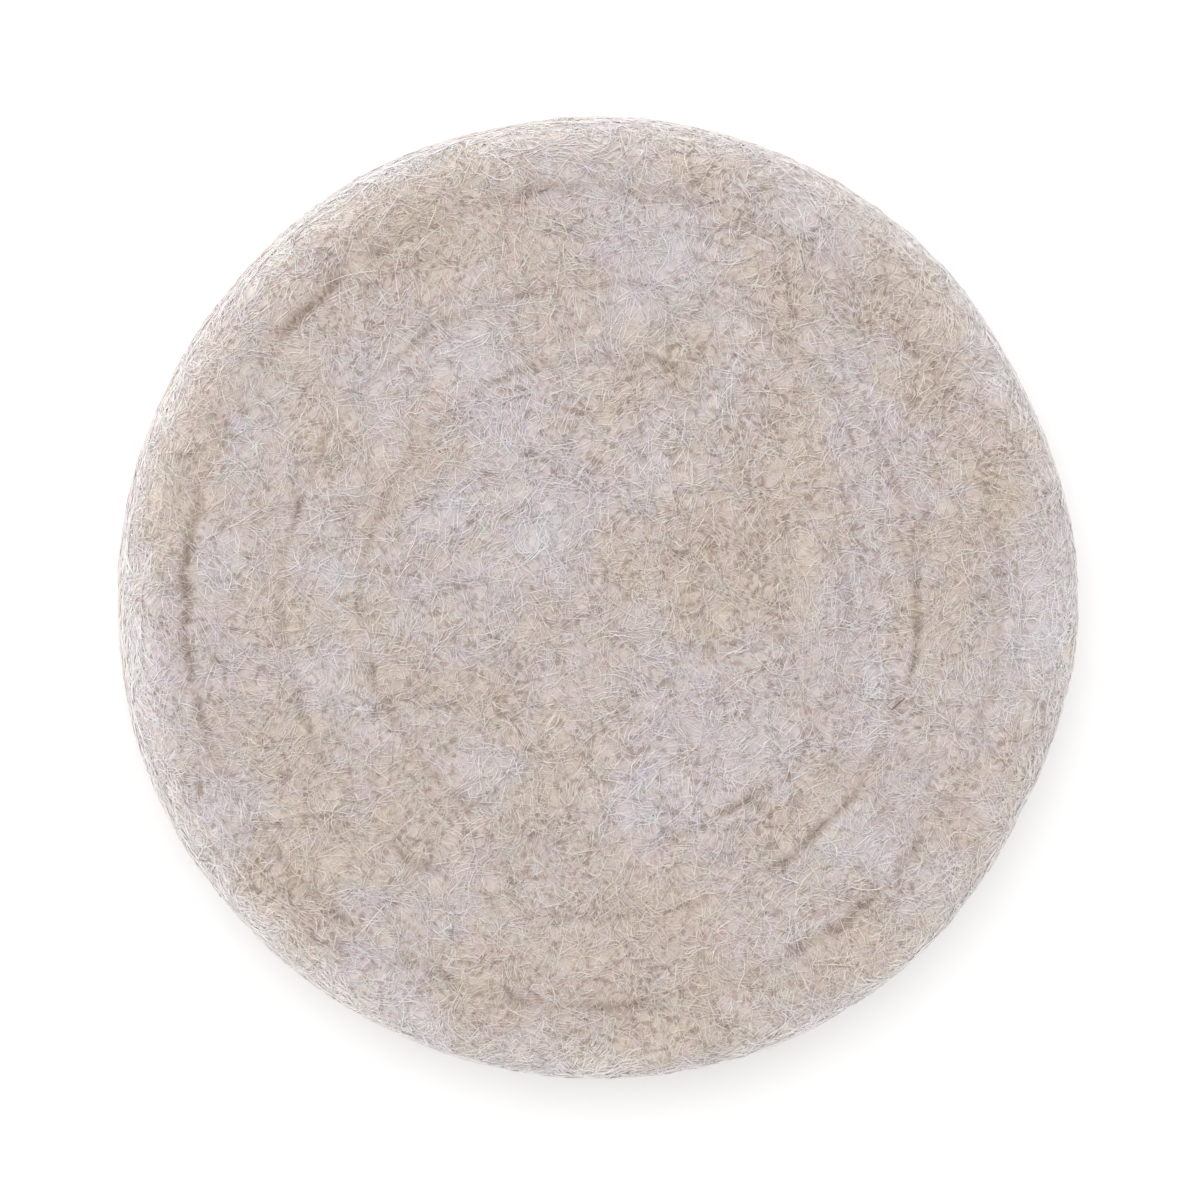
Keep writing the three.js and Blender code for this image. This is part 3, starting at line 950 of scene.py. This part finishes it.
def lay_fibres(layer, count, settings, material, back=False):
    """Adds an object of a layer's loose fibres, with their dye on each point."""
    draws = np.random.default_rng(layer.seed)
    u, v, lift = fibre_paths(layer, draws, count, settings)
    if back:
        u, v = moved_to_back(u, v)
    distance = np.hypot(u, v)
    along = np.maximum(SECTION_END - distance, 0) if back else np.minimum(distance, BACK_EDGE_END)
    angle = np.arctan2(v, u)
    points, normals = pad_surface(along, angle, lift)
    widths = settings.thickness / MM * layer.stoutness * draws.uniform(*FIBRE_WIDTHS, len(points))
    points[..., 2] = np.maximum(points[..., 2], widths[:, None] * FIBRE_CLEARANCE)
    corners, triangles, per_fibre = tubes(points, normals, widths)
    middle = points[:, FIBRE_POINTS // 2]
    values = dye_at(middle, normals[:, FIBRE_POINTS // 2, 2])
    lock = np.arange(len(points)) // FIBRES_IN_LOCK
    # Paler than the mat on average, as painted light on the loose fibres; the spreads are random
    paler = draws.normal(LOCK_PALENESS, LOCK_PALENESS_SPREAD, lock[-1] + 1)[lock]
    paler += draws.normal(0, FIBRE_PALENESS_SPREAD, len(points))
    browner = draws.normal(0, FIBRE_BROWNNESS_SPREAD, len(points))
    values["brownness"] = np.clip(values["brownness"] + browner, 0, 1)
    values["paleness"] = np.clip(values["paleness"] + paler, 0, 1)
    values["tone"] = np.clip(draws.normal(layer.tone, FIBRE_TONE_SPREAD, len(points)), 0, 1)
    repeated = {key: np.repeat(value, per_fibre) for key, value in values.items()}
    at_ring = np.repeat(crease_stain_and_shade(along, angle), [1] + [FIBRE_SIDES] * FIBRE_RINGS + [1], axis=1)
    repeated["crease"] = at_ring.ravel()
    dress(mesh_object(layer.name, corners, triangles, repeated), material)


def hair_path(places):
    """A smooth path through places on the face, as HAIR_POINTS points (x, y)."""
    places = np.array(places)
    ends = 2 * places[0] - places[1], 2 * places[-1] - places[-2]
    held = np.concatenate((ends[:1], places, ends[1:]))
    at = np.linspace(0, len(places) - 1, HAIR_POINTS)
    first = np.minimum(at.astype(int), len(places) - 2)
    part = (at - first)[:, None]
    before, start, end, after = (held[first + index] for index in range(4))
    bent = (end - before) * part + (2 * before - 5 * start + 4 * end - after) * part**2
    bent += (3 * start - before - 3 * end + after) * part**3
    return start + bent / 2


def length_to(radius):
    """Length along the half section out to a radius on the face or its rounded edge."""
    beyond = np.clip((radius - FACE_END) / FACE_EDGE_RADIUS, 0, 1)
    return np.minimum(radius, FACE_END) + FACE_EDGE_RADIUS * np.arcsin(beyond)


class FeltFibreSettings(bpy.types.PropertyGroup):
    """How the loose fibres are spun and laid."""

    thickness: FloatProperty(
        name="Fibre thickness", description="Width of one wool fibre",
        default=0.000024, min=0.00001, precision=6, unit="LENGTH", subtype="DISTANCE",
    )
    shortest: FloatProperty(
        name="Shortest fibre", description="Length of the shortest stretch that shows",
        default=0.0004, min=0.0001, precision=5, unit="LENGTH", subtype="DISTANCE",
    )
    usual: FloatProperty(
        name="Usual fibre", description="Most common length of the stretch that shows",
        default=0.0009, min=0.0001, precision=5, unit="LENGTH", subtype="DISTANCE",
    )
    longest: FloatProperty(
        name="Longest fibre", description="Length of the longest stretch that shows",
        default=0.0021, min=0.0001, precision=5, unit="LENGTH", subtype="DISTANCE",
    )
    face_count: IntProperty(
        name="Face fibres", description="Fibres in each layer on the face", default=8100, min=100,
    )
    wall_count: IntProperty(
        name="Wall fibres", description="Fibres round the wall", default=8250, min=100,
    )
    back_count: IntProperty(
        name="Back fibres", description="Fibres pressed flat on the back", default=1100, min=10,
    )


class FeltColourSettings(bpy.types.PropertyGroup):
    """The dyes of the blended wool."""

    brown_wool: FloatVectorProperty(
        name="Brown wool", description="Colour of the beige fibres",
        default=(0.838, 0.744, 0.654), min=0, max=1, subtype="COLOR",
    )
    grey_wool: FloatVectorProperty(
        name="Grey wool", description="Colour of the lilac grey fibres",
        default=(0.85, 0.803, 0.826), min=0, max=1, subtype="COLOR",
    )
    pale_wool: FloatVectorProperty(
        name="Pale wool", description="Colour of the undyed fibres",
        default=(0.96, 0.945, 0.955), min=0, max=1, subtype="COLOR",
    )
    cream_wool: FloatVectorProperty(
        name="Cream wool", description="Colour of the undyed fibres among the beige ones",
        default=(0.965, 0.935, 0.91), min=0, max=1, subtype="COLOR",
    )
    cool_wool: FloatVectorProperty(
        name="Cool wool", description="Colour of the small cool white tufts",
        default=(0.86, 0.88, 0.93), min=0, max=1, subtype="COLOR",
    )
    # Partly the browner wool pressed into a crease, partly painted shade in it
    pressed_wool_and_shade: FloatVectorProperty(
        name="Pressed wool", description="Colour of the wool pressed into a crease",
        default=(0.52, 0.4, 0.31), min=0, max=1, subtype="COLOR",
    )
    # Painted shade: the colour that the mat, its pits and the crease specks are darkened towards;
    # the fibres' random dark tone turns towards it too
    pit_shade_and_dark_tone: FloatVectorProperty(
        name="Pits", description="Colour deep between the fibres",
        default=(0.42, 0.305, 0.255), min=0, max=1, subtype="COLOR",
    )
    dark_hair: FloatVectorProperty(
        name="Dark hair", description="Colour of the darkest stray hairs",
        default=(0.2, 0.11, 0.08), min=0, max=1, subtype="COLOR",
    )
    sheen: FloatProperty(
        name="Sheen", description="Soft shine of the mat",
        default=0.2, min=0, max=1, subtype="FACTOR",
    )


class FeltStageSettings(bpy.types.PropertyGroup):
    """The floor, the light and the camera."""

    floor_width: FloatProperty(
        name="Floor width", description="Side of the square floor", default=2.0, min=0.1,
        unit="LENGTH", subtype="DISTANCE",
    )
    fill_level: FloatProperty(
        name="Fill level", description="Light from all round: 1 alone shows a colour as it is",
        default=0.818, min=0,
    )
    key_level: FloatProperty(
        name="Key level", description="Light from above the top edge, on the same scale",
        default=0.38, min=0,
    )
    camera_distance: FloatProperty(
        name="Camera distance", description="From the camera to the face", default=0.25, min=0.05,
        unit="LENGTH", subtype="DISTANCE",
    )


class FELT_OT_mat(bpy.types.Operator):
    """Build the dense mat of the pad, with its creases, lumps and pits"""

    bl_idname = "felt.mat"
    bl_label = "Felt Mat"

    def execute(self, context):
        along, counts = mat_rings()
        where = np.repeat(along, counts)
        angle = np.concatenate([2 * math.pi * np.arange(n) / n for n in counts])
        where = np.concatenate(([0.0], where, [SECTION_END]))
        angle = np.concatenate(([0.0], angle, [0.0]))
        points, normals = pad_surface(where, angle, np.zeros(where.shape))
        upward = normals[:, 2]
        points = points - normals * mat_sink(points, upward)[:, None]
        starts = np.concatenate(([0], np.cumsum(counts))) + 1
        faces = [fan(0, starts[0], counts[0], False)]
        for index in range(len(counts) - 1):
            here, after = counts[index], counts[index + 1]
            if after >= here:
                faces.append(strip(starts[index], here, starts[index + 1], after))
            else:
                faces.append(strip(starts[index + 1], after, starts[index], here)[:, ::-1])
        faces.append(fan(len(where) - 1, starts[-2], counts[-1], True))
        values = dye_at(points, upward)
        # The mat keeps only a share of the paleness, so that it is painted darker than the loose
        # fibres over it
        values["paleness"] *= MAT_PALENESS - MAT_FACE_PALENESS_FALL * smooth_step(upward)
        values["crease"] = crease_stain_and_shade(where, angle)
        mat = mesh_object("felt_mat", points, np.concatenate(faces), values)
        dress(mat, mat_material(context.scene.felt_colours))
        return {"FINISHED"}


class FELT_OT_face_fibres(bpy.types.Operator):
    """Lay the loose fibres on the face, in three layers from the mat up"""

    bl_idname = "felt.face_fibres"
    bl_label = "Face Fibres"

    def execute(self, context):
        settings = context.scene.felt_fibres
        material = fibre_material(context.scene.felt_colours)
        for layer in FACE_LAYERS:
            lay_fibres(layer, settings.face_count, settings, material)
        return {"FINISHED"}


class FELT_OT_strays(bpy.types.Operator):
    """Lay the single stray hairs that stand out on the face"""

    bl_idname = "felt.strays"
    bl_label = "Stray Hairs"

    def execute(self, context):
        thickness = context.scene.felt_fibres.thickness / MM
        darkness, stoutness, places = zip(*STRAY_HAIRS)
        paths = np.stack([hair_path(run) for run in places])
        along = length_to(np.hypot(paths[..., 0], paths[..., 1]))
        angle = np.arctan2(paths[..., 1], paths[..., 0])
        points, normals = pad_surface(along, angle, np.full(along.shape, HAIR_LIFT))
        corners, triangles, per_hair = tubes(points, normals, thickness * np.array(stoutness))
        values = {"darkness": np.repeat(darkness, per_hair)}
        hairs = mesh_object("stray_hairs", corners, triangles, values)
        dress(hairs, hair_material(context.scene.felt_colours))
        return {"FINISHED"}


class FELT_OT_side_fibres(bpy.types.Operator):
    """Lay the fibres that run round the cut wall and lie flat on the back"""

    bl_idname = "felt.side_fibres"
    bl_label = "Side and Back Fibres"

    def execute(self, context):
        settings = context.scene.felt_fibres
        material = fibre_material(context.scene.felt_colours)
        lay_fibres(WALL_LAYER, settings.wall_count, settings, material)
        lay_fibres(BACK_LAYER, settings.back_count, settings, material, back=True)
        return {"FINISHED"}


class FELT_OT_stage(bpy.types.Operator):
    """Set up the floor, the light and the camera"""

    bl_idname = "felt.stage"
    bl_label = "Floor, Light and Camera"

    # The photo's frame, the pad's width in it, and the way from the pad to the camera
    FRAME_PIXELS = 1200
    PAD_PIXELS = 968
    SENSOR = 0.036
    LEAN = Vector((-0.045, 0.035, 1.0))
    OFF_CENTRE = 0.06 * MM
    CLIP_START = 0.01

    # The floor's own colour, and the colour and glow it shows to the camera
    FLOOR_COLOUR = (0.85, 0.85, 0.85, 1)
    SEEN_COLOUR = (0.9, 0.9, 0.9, 1)
    SEEN_GLOW = 0.2
    FLOOR_ROUGHNESS = 0.9

    # Light from overhead, how much more comes from the horizon, and how much from one side
    OVERHEAD_FILL = 0.55
    HORIZON_FILL = 2.3
    LEFT_FILL = 0.24
    TOP_FILL = 0.02

    KEY_WAY = Vector((-0.04, 0.27, 1.0))
    KEY_DISTANCE = 0.45
    KEY_WIDTH = 0.3

    def execute(self, context):
        settings = context.scene.felt_stage
        self.floor(settings)
        self.world(settings)
        self.key(settings)
        self.camera(settings)
        return {"FINISHED"}

    def floor(self, settings):
        half = settings.floor_width / 2
        mesh = bpy.data.meshes.new("floor")
        corners = [(-half, -half, 0), (half, -half, 0), (half, half, 0), (-half, half, 0)]
        mesh.from_pydata(corners, [], [(0, 1, 2, 3)])
        floor = linked_object("floor", mesh)
        material = bpy.data.materials.new("pale_floor")
        tree = Tree(material)
        plain = tree.node("ShaderNodeBsdfPrincipled", None, {
            "Base Color": self.FLOOR_COLOUR,
            "Roughness": self.FLOOR_ROUGHNESS,
            "Specular IOR Level": 0.0,
        })
        seen = tree.node("ShaderNodeBsdfPrincipled", None, {
            "Base Color": self.SEEN_COLOUR,
            "Roughness": self.FLOOR_ROUGHNESS,
            "Specular IOR Level": 0.0,
            "Emission Color": WHITE,
            "Emission Strength": self.SEEN_GLOW,
        })
        ray = tree.node("ShaderNodeLightPath").out("Is Camera Ray")
        shaders = {0: ray, 1: plain.out("BSDF"), 2: seen.out("BSDF")}
        mixed = tree.node("ShaderNodeMixShader", None, shaders)
        tree.node("ShaderNodeOutputMaterial", None, {"Surface": mixed.out("Shader")})
        mesh.materials.append(material)

    def world(self, settings):
        world = bpy.data.worlds.new("white_room")
        bpy.context.scene.world = world
        tree = Tree(world)
        path = tree.node("ShaderNodeLightPath")
        mirrored = path.out("Is Glossy Ray") + path.out("Is Transmission Ray")
        shown = (path.out("Is Camera Ray") + mirrored).clamped()
        way = tree.node("ShaderNodeTexCoord").out("Generated")
        parts = tree.node("ShaderNodeSeparateXYZ", None, {0: way})
        low = (1.0 - parts.out("Z")).clamped()
        side = 1.0 - self.LEFT_FILL * parts.out("X") + self.TOP_FILL * parts.out("Y")
        fill = settings.fill_level * (self.OVERHEAD_FILL + self.HORIZON_FILL * low * low) * side
        strength = fill + shown * (1 - fill)
        light = tree.node("ShaderNodeBackground", None, {"Color": WHITE, "Strength": strength})
        tree.node("ShaderNodeOutputWorld", None, {"Surface": light.out("Background")})

    def key(self, settings):
        way = self.KEY_WAY.normalized()
        light = bpy.data.lights.new("key", "AREA")
        light.shape = "DISK"
        light.size = self.KEY_WIDTH
        light.energy = settings.key_level * (math.pi * self.KEY_DISTANCE) ** 2 / way.z
        lamp = linked_object("key", light)
        lamp.location = way * self.KEY_DISTANCE
        lamp.rotation_euler = (-way).to_track_quat("-Z", "Y").to_euler()

    def camera(self, settings):
        back = self.LEAN.normalized()
        right = Vector((0, 1, 0)).cross(back).normalized()
        up = back.cross(right)
        view = bpy.data.cameras.new("camera")
        shown = 2 * PAD_RADIUS * MM * self.FRAME_PIXELS / self.PAD_PIXELS
        view.sensor_width = self.SENSOR / MM
        view.lens = self.SENSOR / MM * settings.camera_distance / shown
        view.clip_start = self.CLIP_START
        camera = linked_object("camera", view)
        target = Vector((-self.OFF_CENTRE, 0, (PAD_THICKNESS - FACE_EDGE_RADIUS) * MM))
        turn = Matrix((right, up, back)).transposed().to_4x4()
        camera.matrix_world = Matrix.Translation(target + back * settings.camera_distance) @ turn
        bpy.context.scene.camera = camera


class FELT_PT_panel(bpy.types.Panel):
    """Lists what builds the felt pad"""

    bl_label = "Felt Pad"
    bl_idname = "FELT_PT_panel"
    bl_space_type = "VIEW_3D"
    bl_region_type = "UI"
    bl_category = "Felt Pad"

    def draw(self, context):
        for operator in OPERATORS:
            self.layout.operator(operator.bl_idname)
        for key in SETTINGS:
            group = getattr(context.scene, key)
            box = self.layout.box()
            for name in group.__annotations__:
                box.prop(group, name)


OPERATORS = (FELT_OT_mat, FELT_OT_face_fibres, FELT_OT_strays, FELT_OT_side_fibres, FELT_OT_stage)
SETTINGS = {
    "felt_fibres": FeltFibreSettings,
    "felt_colours": FeltColourSettings,
    "felt_stage": FeltStageSettings,
}


def register():
    for group in SETTINGS.values():
        bpy.utils.register_class(group)
    for key, group in SETTINGS.items():
        setattr(bpy.types.Scene, key, PointerProperty(type=group))
    for operator in OPERATORS:
        bpy.utils.register_class(operator)
    bpy.utils.register_class(FELT_PT_panel)


def unregister():
    bpy.utils.unregister_class(FELT_PT_panel)
    for operator in reversed(OPERATORS):
        bpy.utils.unregister_class(operator)
    for key in SETTINGS:
        delattr(bpy.types.Scene, key)
    for group in reversed(SETTINGS.values()):
        bpy.utils.unregister_class(group)


def main():
    register()
    bpy.context.scene.view_settings.view_transform = "Standard"
    bpy.ops.felt.mat()
    bpy.ops.felt.face_fibres()
    bpy.ops.felt.strays()
    bpy.ops.felt.side_fibres()
    bpy.ops.felt.stage()


if __name__ == "__main__":
    main()
